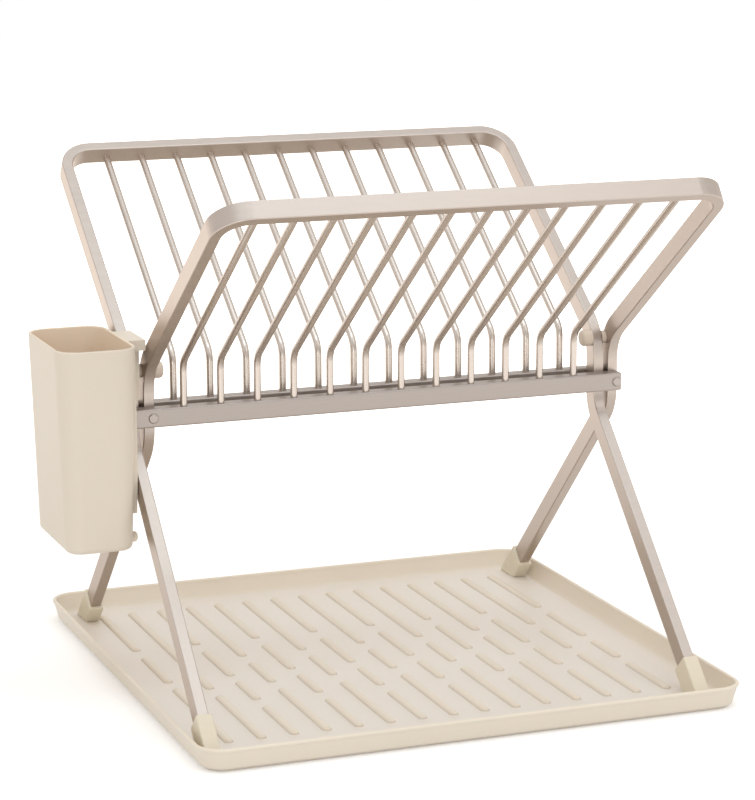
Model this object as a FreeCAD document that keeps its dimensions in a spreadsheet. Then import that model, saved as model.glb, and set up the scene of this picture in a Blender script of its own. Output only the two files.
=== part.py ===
import FreeCAD, Part
import math
import os

import Sketcher
from FreeCAD import Placement, Rotation, Vector

# A folding dish rack: two bent bar frames crossed like a pair of shears, each with a row
# of plate rods, standing in a drip tray, with a cutlery holder hung on the left side.
# X runs along the rack's width, Y from front to back, Z up. The origin is the middle of
# the tray's underside. The rear frame is the front frame turned half a turn about Z.

SIZES = {
    "rackWidth": 381.0,
    "barWidth": 14.0,
    "barThickness": 8.0,
    "barRound": 0.8,
    "frameGap": 3.5,
    "armAngle": 53.7,
    "armLength": 228.0,
    "armKinkHeight": 234.0,
    "armKinkRadius": 34.0,
    "legAngle": 45.0,
    "legKinkHeight": 181.7,
    "legKinkRadius": 29.0,
    "topCornerRadius": 25.0,
    "pivotHeight": 232.4,
    "pivotRadius": 2.1,
    "pivotClearance": 0.05,
    "pinHeadRadius": 4.2,
    "pinHeadHeight": 1.5,
    "pinHeadRound": 0.9,
    "knobRadius": 6.1,
    "knobLength": 7.7,
    "knobRound": 2.4,
    "knobGap": 0.3,
    "washerRadius": 4.8,
    "washerGap": 0.15,
    "railHeight": 13.4,
    "railDepth": 11.0,
    "railLength": 378.0,
    "railMiddle": 201.0,
    "railRound": 1.2,
    "rivetRadius": 1.6,
    "rivetHeadRadius": 3.6,
    "rivetHeadHeight": 1.1,
    "rivetHeadRound": 0.95,
    "rivetBite": 5.0,
    "rivetInset": 1.6,
    "rodPitch": 27.5,
    "rodRadius": 2.65,
    "rodOffset": 3.2,
    "rodBendRadius": 15.0,
    "rodFromBar": 5.5,
    "rodSocketLow": 7.0,
    "rodSocketTop": 4.5,
    "capLength": 29.0,
    "capWall": 2.5,
    "capSideIn": 1.8,
    "capSideOut": 1.5,
    "capSole": 2.5,
    "capRound": 1.2,
    "trayLength": 400.0,
    "trayDepth": 410.0,
    "trayHeight": 17.5,
    "trayFloor": 3.0,
    "trayLean": 4.0,
    "trayWall": 2.2,
    "trayRing": 2.2,
    "trayCove": 0.8,
    "trayRingInset": 2.5,
    "trayCorner": 17.0,
    "trayRimDrop": 2.6,
    "trayRimOut": 0.6,
    "trayRimRound": 1.0,
    "ribPitch": 23.5,
    "ribWidth": 6.8,
    "ribHeight": 2.0,
    "holderTop": 258.0,
    "holderHeight": 144.0,
    "holderNear": 192.6,
    "holderFar": 250.0,
    "holderFront": 50.5,
    "holderBack": 52.0,
    "holderDraft": 1.9,
    "holderCorner": 16.0,
    "holderFoot": 4.0,
    "holderWall": 2.2,
    "holderRim": 0.9,
    "hookNear": 180.3,
    "hookRoot": 1.5,
    "hookDepth": 7.5,
    "hookFront": 19.5,
    "hookPlate": 183.2,
    "hookPlateLow": 214.0,
    "hookPlateDepth": 5.0,
    "hookClear": 0.3,
    "spacerWidth": 8.0,
    "spacerFront": 22.0,
    "spacerRise": 18.0,
    "spacerLead": 30.0,
    "pegRadius": 3.7,
    "pegHeight": 119.0,
    "pegForward": 25.0,
    "pegRound": 2.2,
    "drainWidth": 4.0,
    "drainLength": 26.0,
    "drainPitch": 11.0,
    "drainForward": 18.0,
    "drainMiddle": -1.5,
    "overshoot": 1.0,
}
ROD_COUNT = 12
DRAINS_ACROSS = (-1, 0, 1)

# Each kind of rib column: its name, how many there are, the first one's place in pitches
# from the middle, and where its ribs start and end along Y in mm.
RIB_COLUMNS = (
    ("RibEven", 8, -7, ((-152, -86), (-69, -25), (-9, 56), (75, 175))),
    ("RibOdd", 7, -6, ((-152, -52), (-34, 16), (34, 175))),
)

# How near an edge has to lie to where it is looked for, in mm.
NEAR = 0.05
# The least volume that a cut has to take away, in mm3.
LEAST_CUT = 1e-3
# How much longer than its part a cut is that has to go well past it.
WELL_PAST = 1.5
SHEET = "Sizes"


class Size:
    """A size together with the spreadsheet expression that gives it."""

    def __init__(self, value, text):
        self.value = value
        self.text = text

    def join(self, other, value, sign):
        other_text = other.text if isinstance(other, Size) else repr(float(other))
        return Size(value, "(" + self.text + " " + sign + " " + other_text + ")")

    def __add__(self, other):
        return self.join(other, self.value + number(other), "+")

    def __sub__(self, other):
        return self.join(other, self.value - number(other), "-")

    def __mul__(self, other):
        return self.join(other, self.value * number(other), "*")

    def __truediv__(self, other):
        return self.join(other, self.value / number(other), "/")

    def __neg__(self):
        return Size(-self.value, "(0 - " + self.text + ")")


def number(size):
    return size.value if isinstance(size, Size) else float(size)


def wave(kind, angle):
    """sin, cos or tan of an angle in degrees."""
    function = {"sin": math.sin, "cos": math.cos, "tan": math.tan}[kind]
    return Size(function(math.radians(angle.value)), kind + "(" + angle.text + " * 1 deg)")


doc = FreeCAD.newDocument("dish_rack")
sheet = doc.addObject("Spreadsheet::Sheet", SHEET)
size = {}
for row, (word, value) in enumerate(SIZES.items(), start=1):
    cell = "B" + str(row)
    sheet.set("A" + str(row), word)
    sheet.set(cell, str(value))
    sheet.setAlias(cell, word)
    size[word] = Size(value, SHEET + "." + word)
doc.recompute()
bodies = []


def bind(obj, name, amount):
    """Give a property its size, bound to the spreadsheet when it comes from there."""
    if isinstance(amount, Size):
        obj.setExpression(name, amount.text)


def new_body(label, turned=False):
    body = doc.addObject("PartDesign::Body", "Body_" + label)
    body.Label = label
    if turned:
        body.Placement = Placement(Vector(), Rotation(Vector(0, 0, 1), 180))
    bodies.append(body)
    return body


def new_sketch(body, name, role, offset=(0, 0, 0), tilt=None):
    """A sketch on one of the body's origin planes, moved by offset and tilted about X."""
    sketch = body.newObject("Sketcher::SketchObject", name + "_" + body.Label)
    for plane in body.Origin.OriginFeatures:
        if plane.Role == role:
            sketch.AttachmentSupport = [(plane, "")]
    sketch.MapMode = "FlatFace"
    angle = 0 if tilt is None else number(tilt)
    place = Placement(Vector(*[number(part) for part in offset]), Rotation(Vector(1, 0, 0), angle))
    sketch.AttachmentOffset = place
    for axis, part in zip("xyz", offset):
        bind(sketch, "AttachmentOffset.Base." + axis, part)
    if isinstance(tilt, Size):
        sketch.setExpression("AttachmentOffset.Rotation.Angle", tilt.text)
    return sketch


def pin_point(sketch, index, end, point):
    """Fix one sketch point by its distances from the origin."""
    for kind, part in zip(("DistanceX", "DistanceY"), point):
        at = sketch.addConstraint(Sketcher.Constraint(kind, -1, 1, index, end, number(part)))
        bind(sketch, "Constraints[" + str(at) + "]", part)


def draw_polygon(sketch, points):
    """A closed outline of straight lines through the given points."""
    first = sketch.GeometryCount
    for here, there in zip(points, points[1:] + points[:1]):
        start = Vector(number(here[0]), number(here[1]), 0)
        stop = Vector(number(there[0]), number(there[1]), 0)
        sketch.addGeometry(Part.LineSegment(start, stop), False)
    for step in range(len(points)):
        after = (step + 1) % len(points)
        sketch.addConstraint(Sketcher.Constraint("Coincident", first + step, 2, first + after, 1))
    for step, point in enumerate(points):
        pin_point(sketch, first + step, 1, point)


def draw_box(sketch, low, high):
    corners = [(low[0], low[1]), (high[0], low[1]), (high[0], high[1]), (low[0], high[1])]
    draw_polygon(sketch, corners)


def draw_circle(sketch, centre, radius):
    middle = Vector(number(centre[0]), number(centre[1]), 0)
    index = sketch.addGeometry(Part.Circle(middle, Vector(0, 0, 1), number(radius)), False)
    at = sketch.addConstraint(Sketcher.Constraint("Radius", index, number(radius)))
    bind(sketch, "Constraints[" + str(at) + "]", radius)
    pin_point(sketch, index, 3, centre)


def draw_slot(sketch, across, low, high, width):
    """A slot with round ends that runs along the sketch's second axis."""
    half = number(width) / 2
    middle = number(across)
    bottom = number(low) + half
    top = number(high) - half
    left = Part.LineSegment(Vector(middle - half, top, 0), Vector(middle - half, bottom, 0))
    right = Part.LineSegment(Vector(middle + half, bottom, 0), Vector(middle + half, top, 0))
    below = Part.ArcOfCircle(
        Part.Circle(Vector(middle, bottom, 0), Vector(0, 0, 1), half), math.pi, 2 * math.pi)
    above = Part.ArcOfCircle(
        Part.Circle(Vector(middle, top, 0), Vector(0, 0, 1), half), 0, math.pi)
    for piece in (left, below, right, above):
        sketch.addGeometry(piece, False)


def rounded_box(sketch, half_x, half_y, radius):
    """A rectangle about the origin with round corners."""
    a = number(half_x)
    b = number(half_y)
    r = number(radius)
    corners = ((a - r, b - r, 0), (r - a, b - r, 1), (r - a, r - b, 2), (a - r, r - b, 3))
    index = []
    for cx, cy, quarter in corners:
        start = quarter * math.pi / 2
        circle = Part.Circle(Vector(cx, cy, 0), Vector(0, 0, 1), r)
        index.append(sketch.addGeometry(Part.ArcOfCircle(circle, start, start + math.pi / 2), False))
    lines = []
    for step in range(4):
        here = sketch.Geometry[index[step]].EndPoint
        there = sketch.Geometry[index[(step + 1) % 4]].StartPoint
        lines.append(sketch.addGeometry(Part.LineSegment(here, there), False))
    for step in range(4):
        after = index[(step + 1) % 4]
        sketch.addConstraint(Sketcher.Constraint("Tangent", index[step], 2, lines[step], 1))
        sketch.addConstraint(Sketcher.Constraint("Tangent", lines[step], 2, after, 1))
    signs = ((1, 1), (-1, 1), (-1, -1), (1, -1))
    for place, (sx, sy) in zip(index, signs):
        x_part = (half_x - radius) * sx
        y_part = (half_y - radius) * sy
        pin_point(sketch, place, 3, (x_part, y_part))
    at = sketch.addConstraint(Sketcher.Constraint("Radius", index[0], r))
    bind(sketch, "Constraints[" + str(at) + "]", radius)


def pad(body, sketch, length, reverse=False, middle=False, taper=None):
    feature = body.newObject("PartDesign::Pad", "Pad_" + sketch.Name)
    feature.Profile = sketch
    feature.Length = number(length)
    bind(feature, "Length", length)
    feature.Reversed = reverse
    feature.Midplane = middle
    if taper is not None:
        feature.TaperAngle = number(taper)
        bind(feature, "TaperAngle", taper)
    doc.recompute()
    return feature


def pocket(body, sketch, length, reverse=False, middle=False, taper=None):
    before = body.Shape.Volume
    feature = body.newObject("PartDesign::Pocket", "Pocket_" + sketch.Name)
    feature.Profile = sketch
    feature.Length = number(length)
    bind(feature, "Length", length)
    feature.Reversed = reverse
    feature.Midplane = middle
    if taper is not None:
        feature.TaperAngle = number(taper)
        bind(feature, "TaperAngle", taper)
    doc.recompute()
    if body.Shape.Volume >= before - LEAST_CUT:
        raise RuntimeError("nothing was cut by " + feature.Name)
    return feature


def pattern(body, feature, direction, length, count):
    """Repeat a feature in a line."""
    row = body.newObject("PartDesign::LinearPattern", "Row_" + feature.Name)
    row.Originals = [feature]
    row.Direction = direction
    row.Length = number(length)
    bind(row, "Length", length)
    row.Occurrences = count
    body.Tip = row
    doc.recompute()
    return row


def fillet(body, radius, chosen):
    """Round the edges that the test picks."""
    names = []
    for index, edge in enumerate(body.Tip.Shape.Edges, start=1):
        if chosen(edge):
            names.append("Edge" + str(index))
    if not names:
        raise RuntimeError("no edge to round on " + body.Label)
    base = body.Tip
    feature = body.newObject("PartDesign::Fillet", "Fillet" + str(len(body.Group)) + "_" + body.Label)
    feature.Base = (base, names)
    feature.Radius = number(radius)
    bind(feature, "Radius", radius)
    doc.recompute()
    return feature


def straight(edge, axis):
    """True for a straight edge along the given direction."""
    if edge.Curve.TypeId != "Part::GeomLine":
        return False
    return abs(abs(edge.Curve.Direction.dot(axis)) - 1) < 1e-6


def turn(body, sketch, axis_name):
    feature = body.newObject("PartDesign::Revolution", "Turned_" + sketch.Name)
    feature.Profile = sketch
    feature.ReferenceAxis = (sketch, [axis_name])
    feature.Angle = 360
    doc.recompute()
    return feature


X = Vector(1, 0, 0)
Y = Vector(0, 1, 0)
Z = Vector(0, 0, 1)
SIN_ARM = wave("sin", size["armAngle"])
COS_ARM = wave("cos", size["armAngle"])
TAN_HALF_ARM = wave("tan", size["armAngle"] / 2)
SIN_LEG = wave("sin", size["legAngle"])
COS_LEG = wave("cos", size["legAngle"])
TAN_LEG = wave("tan", size["legAngle"])
TAN_HALF_LEG = wave("tan", size["legAngle"] / 2)
HALF_BAR = size["barWidth"] / 2

# The front frame's two side bars: the left one runs inside the rear frame's bar, the
# right one outside it.
LEFT_OUT = -(size["rackWidth"] / 2) + size["barThickness"] + size["frameGap"]
LEFT_IN = LEFT_OUT + size["barThickness"]
RIGHT_OUT = size["rackWidth"] / 2
RIGHT_IN = RIGHT_OUT - size["barThickness"]
SOLE = size["trayFloor"]
LEG_END = SOLE + size["capSole"]
ROD_Y = -(HALF_BAR + size["rodFromBar"])
ROD_KINK = size["armKinkHeight"] - (ROD_Y * COS_ARM + size["rodOffset"]) / SIN_ARM
RAIL_TOP = size["railMiddle"] + size["railHeight"] / 2


def on_leg(across, height):
    """The Y of a line along the leg, offset across it, at the given height."""
    return TAN_LEG * (size["legKinkHeight"] - height) + across / COS_LEG


def make_frame(label, turned):
    """One bent bar: top rail, two arms, two upright parts and two legs."""
    body = new_body(label, turned)
    top_y = -(size["armLength"] * SIN_ARM)
    top_z = size["armKinkHeight"] + size["armLength"] * COS_ARM
    side = new_sketch(body, "Side", "YZ_Plane", (0, 0, LEFT_OUT))
    draw_polygon(side, [
        (top_y - HALF_BAR * COS_ARM, top_z - HALF_BAR * SIN_ARM),
        (-HALF_BAR, size["armKinkHeight"] - HALF_BAR * TAN_HALF_ARM),
        (-HALF_BAR, size["legKinkHeight"] - HALF_BAR * TAN_HALF_LEG),
        (on_leg(-HALF_BAR, LEG_END), LEG_END),
        (on_leg(HALF_BAR, LEG_END), LEG_END),
        (HALF_BAR, size["legKinkHeight"] + HALF_BAR * TAN_HALF_LEG),
        (HALF_BAR, size["armKinkHeight"] + HALF_BAR * TAN_HALF_ARM),
        (top_y + HALF_BAR * COS_ARM, top_z + HALF_BAR * SIN_ARM),
    ])
    pad(body, side, RIGHT_OUT - LEFT_OUT)

    # The space between the side bars, first below the arms and then between the arms.
    low = new_sketch(body, "Low", "XY_Plane")
    draw_box(low, (LEFT_IN, -HALF_BAR * 2), (RIGHT_IN, size["legKinkHeight"] * WELL_PAST))
    pocket(body, low, size["armKinkHeight"] + HALF_BAR, reverse=True)
    tilt = size["armAngle"] + 90
    arm = new_sketch(body, "Arm", "XY_Plane", (0, 0, size["armKinkHeight"]), tilt)
    draw_box(arm, (LEFT_IN, 0), (RIGHT_IN, size["armLength"] - size["barThickness"]))
    pocket(body, arm, size["barWidth"] * WELL_PAST, middle=True)

    # The two corners of the top rail, then the two bends of each side bar.
    across_arm = Vector(0, number(COS_ARM), number(SIN_ARM))
    outer = number(RIGHT_OUT - LEFT_OUT) / 2
    middle = number(RIGHT_OUT + LEFT_OUT) / 2

    def outer_corner(edge):
        return straight(edge, across_arm) and abs(abs(edge.CenterOfMass.x - middle) - outer) < NEAR

    def inner_corner(edge):
        return straight(edge, across_arm) and abs(edge.CenterOfMass.x - middle) < outer - NEAR

    top_line = number(top_z) - number(size["barWidth"])
    fillet(body, size["topCornerRadius"],
           lambda edge: outer_corner(edge) and edge.CenterOfMass.z > top_line)
    fillet(body, size["topCornerRadius"] - size["barThickness"],
           lambda edge: inner_corner(edge) and edge.CenterOfMass.z > top_line)
    half = number(HALF_BAR)
    for height, radius, kink in (
        (size["armKinkHeight"], size["armKinkRadius"], TAN_HALF_ARM),
        (size["legKinkHeight"], size["legKinkRadius"], TAN_HALF_LEG),
    ):
        rise = number(HALF_BAR * kink)
        bend_z = number(height)
        inner_side = -1
        if height is size["legKinkHeight"]:
            inner_side = 1
        for side_sign in (1, -1):
            wanted = Vector(0, side_sign * half, bend_z + side_sign * rise)
            amount = radius - HALF_BAR if side_sign == inner_side else radius + HALF_BAR
            fillet(body, amount, lambda edge, at=wanted: straight(edge, X)
                   and abs(edge.CenterOfMass.y - at.y) < NEAR
                   and abs(edge.CenterOfMass.z - at.z) < NEAR)

    fillet(body, size["barRound"], lambda edge: True)

    # Twelve blind sockets for the rods in the top rail's inner face.
    reach = size["armLength"] - size["barThickness"]
    socket = new_sketch(
        body, "Socket", "XY_Plane",
        (0, -(reach * SIN_ARM), size["armKinkHeight"] + reach * COS_ARM), size["armAngle"])
    for index in range(ROD_COUNT):
        draw_circle(socket, (rod_x(index), -size["rodOffset"]), size["rodRadius"])
    pocket(body, socket, size["rodSocketTop"], reverse=True)

    # The pivot bores through both side bars and the blind rivet holes in their fronts.
    bore = new_sketch(body, "Bore", "YZ_Plane", (0, 0, LEFT_OUT - size["overshoot"]))
    draw_circle(bore, (0, size["pivotHeight"]), size["pivotRadius"] + size["pivotClearance"])
    pocket(body, bore, size["rackWidth"], reverse=True)
    rivet = new_sketch(body, "RivetHole", "XZ_Plane", (0, 0, HALF_BAR))
    for middle_x in rivet_places():
        draw_circle(rivet, (middle_x, size["railMiddle"]), size["rivetRadius"])
    pocket(body, rivet, size["rivetBite"])
    return body


def rod_x(index):
    return size["rodPitch"] * (index - (ROD_COUNT - 1) / 2)


def rivet_places():
    half = size["barThickness"] / 2
    return [LEFT_OUT + half, RIGHT_IN + half - size["rivetInset"]]


def make_rod(label, turned, index):
    """A plate rod: upright out of the rail, then bent to run along the arms."""
    body = new_body(label, turned)
    start_z = RAIL_TOP - size["rodSocketLow"]
    run = size["armLength"] - size["barThickness"] + size["rodSocketTop"]
    end_y = -(run * SIN_ARM) - size["rodOffset"] * COS_ARM
    end_z = size["armKinkHeight"] + run * COS_ARM - size["rodOffset"] * SIN_ARM
    reach = number(size["rodBendRadius"] * TAN_HALF_ARM)
    bend = Vector(number(ROD_Y), number(ROD_KINK), 0)
    low = Vector(bend.x, number(start_z), 0)
    high = Vector(number(end_y), number(end_z), 0)
    arc_low = bend + (low - bend).normalize() * reach
    arc_high = bend + (high - bend).normalize() * reach
    centre = arc_low - Vector(number(size["rodBendRadius"]), 0, 0)
    path = new_sketch(body, "Path", "YZ_Plane", (0, 0, rod_x(index)))
    path.addGeometry(Part.LineSegment(low, arc_low), False)
    inward = (bend - centre).normalize() * number(size["rodBendRadius"])
    path.addGeometry(Part.Arc(arc_low, centre + inward, arc_high), False)
    path.addGeometry(Part.LineSegment(arc_high, high), False)
    ring = new_sketch(body, "Ring", "XY_Plane", (0, 0, start_z))
    draw_circle(ring, (rod_x(index), ROD_Y), size["rodRadius"])
    doc.recompute()
    pipe = body.newObject("PartDesign::AdditivePipe", "Pipe_" + label)
    pipe.Profile = ring
    pipe.Spine = (path, ["Edge1", "Edge2", "Edge3"])
    doc.recompute()
    return body


def make_rail(label, turned):
    """The rod rail across the upright bars, with a socket for each rod."""
    body = new_body(label, turned)
    half = size["railLength"] / 2
    low = size["railMiddle"] - size["railHeight"] / 2
    front = new_sketch(body, "Front", "XZ_Plane", (0, 0, HALF_BAR))
    draw_box(front, (-half, low), (half, RAIL_TOP))
    pad(body, front, size["railDepth"])
    fillet(body, size["railRound"], lambda edge: True)
    socket = new_sketch(body, "Socket", "XY_Plane", (0, 0, RAIL_TOP))
    for index in range(ROD_COUNT):
        draw_circle(socket, (rod_x(index), ROD_Y), size["rodRadius"])
    pocket(body, socket, size["rodSocketLow"])
    hole = new_sketch(body, "Hole", "XZ_Plane", (0, 0, HALF_BAR))
    for middle_x in rivet_places():
        draw_circle(hole, (middle_x, size["railMiddle"]), size["rivetRadius"])
    pocket(body, hole, size["railDepth"], reverse=True)
    return body


def make_rivet(label, turned, middle_x):
    """A rivet through the rail into the bar, with a low round head."""
    body = new_body(label, turned)
    face = -(HALF_BAR + size["railDepth"])
    tail = -HALF_BAR + size["rivetBite"]
    head = face - size["rivetHeadHeight"]
    outline = new_sketch(body, "Half", "XY_Plane", (middle_x, 0, size["railMiddle"]))
    draw_polygon(outline, [
        (0, head),
        (size["rivetHeadRadius"], head),
        (size["rivetHeadRadius"], face),
        (size["rivetRadius"], face),
        (size["rivetRadius"], tail),
        (0, tail),
    ])
    turn(body, outline, "V_Axis")
    rim_y = number(head)
    fillet(body, size["rivetHeadRound"],
           lambda edge: edge.Curve.TypeId == "Part::GeomCircle"
           and abs(edge.CenterOfMass.y - rim_y) < NEAR)
    return body


def pivot_outline(label, turned, points):
    """A turned piece on the pivot axis; the points give its place along X and its radius."""
    body = new_body(label, turned)
    outline = new_sketch(body, "Half", "XZ_Plane", (0, size["pivotHeight"], 0))
    draw_polygon(outline, points)
    turn(body, outline, "H_Axis")
    return body


def make_pivot(side, turned):
    """Pin, washer and knob of one pivot, drawn for the left side."""
    outer = -(size["rackWidth"] / 2)
    knob_face = LEFT_IN + size["knobGap"]
    knob_end = knob_face + size["knobLength"]
    pin_end = knob_end - size["knobRound"]
    head = outer - size["washerGap"]
    pin = pivot_outline(side + "_pivot_pin", turned, [
        (head - size["pinHeadHeight"], 0),
        (head - size["pinHeadHeight"], size["pinHeadRadius"]),
        (head, size["pinHeadRadius"]),
        (head, size["pivotRadius"]),
        (pin_end, size["pivotRadius"]),
        (pin_end, 0),
    ])
    head_x = number(head - size["pinHeadHeight"])
    fillet(pin, size["pinHeadRound"],
           lambda edge: edge.Curve.TypeId == "Part::GeomCircle"
           and abs(edge.CenterOfMass.x - head_x) < NEAR)
    gap = size["washerGap"]
    washer_low = outer + size["barThickness"] + gap
    draw = [
        (washer_low, size["pivotRadius"]),
        (washer_low, size["washerRadius"]),
        (LEFT_OUT - gap, size["washerRadius"]),
        (LEFT_OUT - gap, size["pivotRadius"]),
    ]
    pivot_outline(side + "_pivot_washer", turned, draw)
    knob = pivot_outline(side + "_pivot_knob", turned, [
        (knob_face, size["pivotRadius"]),
        (knob_face, size["knobRadius"]),
        (knob_end, size["knobRadius"]),
        (knob_end, 0),
        (pin_end, 0),
        (pin_end, size["pivotRadius"]),
    ])
    end_x = number(knob_end)
    fillet(knob, size["knobRound"],
           lambda edge: edge.Curve.TypeId == "Part::GeomCircle"
           and abs(edge.CenterOfMass.x - end_x) < NEAR)


def make_cap(label, turned, low_x, high_x):
    """The foot cap on one leg, with a flat sole on the tray's floor."""
    body = new_body(label, turned)
    wall = HALF_BAR + size["capWall"]
    centre_z = SOLE + size["capLength"] * COS_LEG
    centre_y = TAN_LEG * (size["legKinkHeight"] - centre_z)
    outer = new_sketch(body, "Outer", "YZ_Plane", (0, 0, low_x - size["capSideOut"]))
    draw_polygon(outer, [
        (on_leg(-wall, SOLE), SOLE),
        (on_leg(wall, SOLE), SOLE),
        (centre_y + wall * COS_LEG, centre_z + wall * SIN_LEG),
        (centre_y - wall * COS_LEG, centre_z - wall * SIN_LEG),
    ])
    pad(body, outer, high_x - low_x + size["capSideOut"] + size["capSideIn"])
    fillet(body, size["capRound"], lambda edge: True)
    inner = new_sketch(body, "Inner", "YZ_Plane", (0, 0, low_x))
    beyond = centre_z + size["capWall"] * 2
    draw_polygon(inner, [
        (on_leg(-HALF_BAR, LEG_END), LEG_END),
        (on_leg(HALF_BAR, LEG_END), LEG_END),
        (on_leg(HALF_BAR, beyond + HALF_BAR), beyond + HALF_BAR),
        (on_leg(-HALF_BAR, beyond + HALF_BAR), beyond + HALF_BAR),
    ])
    pocket(body, inner, high_x - low_x, reverse=True)
    return body


def make_tray():
    """The drip tray: a ring-footed base, a leaning wall with a rolled rim, and floor ribs."""
    body = new_body("drip_tray")
    half_x = size["trayLength"] / 2
    half_y = size["trayDepth"] / 2
    lean = size["trayLean"]
    foot_in = lean + size["trayRingInset"]
    base = new_sketch(body, "Base", "XY_Plane")
    draw_box(base, (-(half_x - foot_in), -(half_y - foot_in)), (half_x - foot_in, half_y - foot_in))
    pad(body, base, size["trayRing"])
    fillet(body, size["trayCorner"] - foot_in, lambda edge: straight(edge, Z))

    wall_height = size["trayHeight"] - size["trayRing"]
    draft = Size(
        math.degrees(math.atan(lean.value / wall_height.value)),
        "atan(" + lean.text + " / " + wall_height.text + ")")
    wall = new_sketch(body, "Wall", "XY_Plane", (0, 0, size["trayRing"]))
    rounded_box(wall, half_x - lean, half_y - lean, size["trayCorner"] - lean)
    pad(body, wall, wall_height, taper=draft)

    # A thicker rolled rim round the top of the wall.
    rim = new_sketch(body, "Rim", "XY_Plane", (0, 0, size["trayHeight"] - size["trayRimDrop"]))
    out = size["trayRimOut"]
    rounded_box(rim, half_x + out, half_y + out, size["trayCorner"] + out)
    pad(body, rim, size["trayRimDrop"])

    # The basin, from the rim down to the floor.
    basin = new_sketch(body, "Basin", "XY_Plane", (0, 0, size["trayFloor"]))
    floor_in = lean + size["trayWall"] + size["trayCove"]
    rounded_box(basin, half_x - floor_in, half_y - floor_in, size["trayCorner"] - floor_in)
    pocket(body, basin, size["trayHeight"] - size["trayFloor"], reverse=True, taper=draft)
    top = number(size["trayHeight"])
    fillet(body, size["trayRimRound"], lambda edge: abs(edge.CenterOfMass.z - top) < NEAR)

    # Staggered ribs on the floor, in two alternating kinds of column.
    pitch = size["ribPitch"]
    for name, count, start, runs in RIB_COLUMNS:
        rib = new_sketch(body, name, "XY_Plane", (0, 0, size["trayFloor"]))
        for low, high in runs:
            draw_slot(rib, pitch * start, low, high, size["ribWidth"])
        column = pad(body, rib, size["ribHeight"])
        pattern(body, column, (rib, ["H_Axis"]), pitch * 2 * (count - 1), count)
    return body


def make_holder():
    """The cutlery holder: a tapered cup with round corners, a hook and a spacer peg."""
    body = new_body("cutlery_holder")
    half_x = (size["holderFar"] - size["holderNear"]) / 2
    half_y = (size["holderFront"] + size["holderBack"]) / 2
    centre_x = -(size["holderFar"] + size["holderNear"]) / 2
    centre_y = (size["holderBack"] - size["holderFront"]) / 2
    foot_z = number(size["holderTop"] - size["holderHeight"])
    top_z = number(size["holderTop"])
    plan = new_sketch(body, "Plan", "XY_Plane", (centre_x, centre_y, size["holderTop"]))
    rounded_box(plan, half_x, half_y, size["holderCorner"])
    pad(body, plan, size["holderHeight"], reverse=True, taper=-size["holderDraft"])
    fillet(body, size["holderFoot"], lambda edge: abs(edge.CenterOfMass.z - foot_z) < NEAR)
    wall = size["holderWall"]
    hollow = new_sketch(body, "Hollow", "XY_Plane", (centre_x, centre_y, size["holderTop"]))
    rounded_box(hollow, half_x - wall, half_y - wall, size["holderCorner"] - wall)
    pocket(body, hollow, size["holderHeight"] - wall, taper=-size["holderDraft"])
    fillet(body, size["holderRim"], lambda edge: abs(edge.CenterOfMass.z - top_z) < NEAR)

    # The hook: a block that rests on the rear frame's arm, and a plate before its bar.
    clear = size["hookClear"]
    deep = size["holderTop"] - size["hookDepth"]
    arm_top = size["armKinkHeight"] + (HALF_BAR + clear) / SIN_ARM
    slope = SIN_ARM / COS_ARM
    block_x = -(size["holderNear"] + size["hookRoot"])
    block = new_sketch(body, "Block", "YZ_Plane", (0, 0, block_x))
    draw_polygon(block, [
        (-size["hookFront"], deep),
        ((deep - arm_top) * slope, deep),
        ((size["holderTop"] - arm_top) * slope, size["holderTop"]),
        (-size["hookFront"], size["holderTop"]),
    ])
    pad(body, block, -size["hookNear"] - block_x)
    plate = new_sketch(body, "Plate", "YZ_Plane", (0, 0, block_x))
    plate_back = -(HALF_BAR + clear * 2)
    draw_box(plate, (plate_back - size["hookPlateDepth"], size["hookPlateLow"]),
             (plate_back, deep + size["overshoot"]))
    pad(body, plate, -size["hookPlate"] - block_x)

    # A slim spacer that fills the taper down to the frame's outer face, and a peg.
    bite = size["overshoot"]
    rib_face = -(size["rackWidth"] / 2) - clear
    fall = wave("tan", size["holderDraft"])
    rib_low = size["pegHeight"] + size["spacerRise"]
    rib = new_sketch(body, "Rib", "XZ_Plane", (0, 0, size["spacerFront"]))
    low_in = -size["holderNear"] - (size["holderTop"] - rib_low) * fall - bite
    high_in = -size["holderNear"] - size["hookDepth"] * fall - bite
    draw_polygon(rib, [
        (rib_face, deep),
        (high_in, deep),
        (low_in, rib_low),
        (rib_face - bite, rib_low),
        (rib_face, rib_low + size["spacerLead"]),
    ])
    pad(body, rib, size["spacerWidth"])
    peg_in = -size["holderNear"] - (size["holderTop"] - size["pegHeight"]) * fall - bite
    peg = new_sketch(body, "Peg", "YZ_Plane", (0, 0, peg_in))
    draw_circle(peg, (-size["pegForward"], size["pegHeight"]), size["pegRadius"])
    pad(body, peg, rib_face - peg_in)
    end_x = number(rib_face)
    fillet(body, size["pegRound"],
           lambda edge: edge.Curve.TypeId == "Part::GeomCircle"
           and abs(edge.CenterOfMass.x - end_x) < NEAR
           and abs(edge.CenterOfMass.z - number(size["pegHeight"])) < NEAR)

    # Drain slots through the floor.
    drain = new_sketch(body, "Drain", "XY_Plane", (0, 0, foot_z - number(bite)))
    middle_x = -(size["holderNear"] + size["holderFar"]) / 2
    for side in (-1, 1):
        low = size["drainForward"] * side + size["drainMiddle"] - size["drainLength"] / 2
        for step in DRAINS_ACROSS:
            across = middle_x + size["drainPitch"] * step
            draw_slot(drain, across, low, low + size["drainLength"], size["drainWidth"])
    pocket(body, drain, size["holderWall"] * 2, reverse=True)
    return body


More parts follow.
